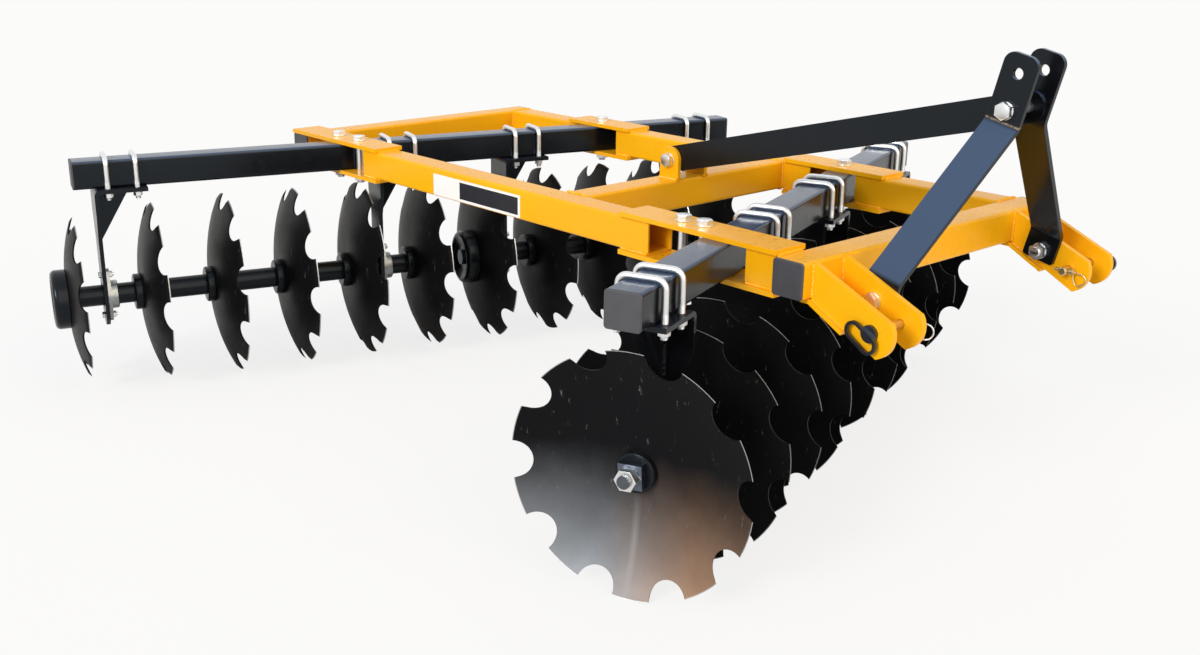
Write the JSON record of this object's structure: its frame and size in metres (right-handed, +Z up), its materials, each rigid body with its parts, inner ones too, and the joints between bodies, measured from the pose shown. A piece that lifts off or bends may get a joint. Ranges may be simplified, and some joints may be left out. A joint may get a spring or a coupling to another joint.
{
  "type": "three-point offset disc harrow",
  "caption": "Mounted offset disc harrow: a yellow tube frame with mast and lower clevises carries two angled beams of free-rolling notched disc gangs.",
  "frame": {"origin": "on the floor, at the middle of the machine's footprint", "axes": "+Y forward to the tractor, +X to the machine's right along the lower link pins, +Z up"},
  "size_m": [2.5858, 2.782, 1.2061],
  "materials": {
    "yellow_paint": "glossy golden yellow paint",
    "black_paint": "glossy black paint",
    "disc_steel": "dark graphite coating, bright ground edges, light scratches",
    "bright_zinc": "bright zinc plating",
    "bolt_steel": "plain steel, lightly oiled",
    "yellow_zinc": "yellow zinc plating",
    "grey_plastic": "dark grey plastic"
  },
  "bodies": {
    "frame": {"front_crossmember": "yellow_paint", "middle_crossmember": "yellow_paint", "rear_crossmember": "yellow_paint", "right_rail_front": "yellow_paint", "right_rail_middle": "yellow_paint", "left_rail_front": "yellow_paint", "left_rail_middle": "yellow_paint", "left_rail_rear": "yellow_paint", "right_front_crossing_plates": "yellow_paint", "right_front_crossing_bolts": "bright_zinc", "right_rear_crossing_plates": "yellow_paint", "right_rear_crossing_bolts": "bright_zinc", "left_front_crossing_plates": "yellow_paint", "left_front_crossing_bolts": "bright_zinc", "left_rear_crossing_plates": "yellow_paint", "left_rear_crossing_bolts": "bright_zinc", "front_gang_beam": "black_paint", "rear_gang_beam": "black_paint", "tube_end_caps": "grey_plastic", "front_right_hangers": "black_paint", "front_right_bearings": "bright_zinc", "front_left_hangers": "black_paint", "front_left_bearings": "bright_zinc", "front_u_bolts": "bright_zinc", "front_bearing_bolts": "bright_zinc", "rear_left_hangers": "black_paint", "rear_left_bearings": "bright_zinc", "rear_right_hangers": "black_paint", "rear_right_bearings": "bright_zinc", "rear_u_bolts": "bright_zinc", "rear_bearing_bolts": "bright_zinc", "right_clevis": "yellow_paint", "right_hitch_pin": "yellow_zinc", "right_linchpin": "yellow_zinc", "left_clevis": "yellow_paint", "left_hitch_pin": "yellow_zinc", "left_linchpin": "yellow_zinc", "right_mast_strap": "black_paint", "left_mast_strap": "black_paint", "mast_braces": "black_paint", "brace_lugs": "yellow_paint", "mast_brace_bolt": "bright_zinc", "lug_brace_bolt": "bright_zinc", "strap_foot_bolts": "bright_zinc"},
    "front_right_gang": {"front_right_discs": "disc_steel", "front_right_bumper": "black_paint", "front_right_spools": "black_paint", "front_right_arbor_bolt": "bolt_steel"},
    "front_left_gang": {"front_left_discs": "disc_steel", "front_left_bumper": "black_paint", "front_left_spools": "black_paint", "front_left_arbor_bolt": "bolt_steel"},
    "rear_right_gang": {"rear_right_discs": "disc_steel", "rear_right_bumper": "black_paint", "rear_right_spools": "black_paint", "rear_right_arbor_bolt": "bolt_steel"},
    "rear_left_gang": {"rear_left_discs": "disc_steel", "rear_left_bumper": "black_paint", "rear_left_spools": "black_paint", "rear_left_arbor_bolt": "bolt_steel"}
  },
  "joints": [
    {"name": "front_right_gang_spin", "type": "hinge", "parent": "frame", "child": "front_right_gang", "pos_m": [0.29949, 0.83446, 0.3], "axis": [0.9361, 0.3518, 0], "continuous": true},
    {"name": "front_left_gang_spin", "type": "hinge", "parent": "frame", "child": "front_left_gang", "pos_m": [-0.78634, 0.42632, 0.3], "axis": [0.9361, 0.3518, 0], "continuous": true},
    {"name": "rear_right_gang_spin", "type": "hinge", "parent": "frame", "child": "rear_right_gang", "pos_m": [0.6693, -0.98919, 0.3], "axis": [-0.9588, 0.284, 0], "continuous": true},
    {"name": "rear_left_gang_spin", "type": "hinge", "parent": "frame", "child": "rear_left_gang", "pos_m": [-0.55415, -0.62679, 0.3], "axis": [-0.9588, 0.284, 0], "continuous": true}
  ]
}
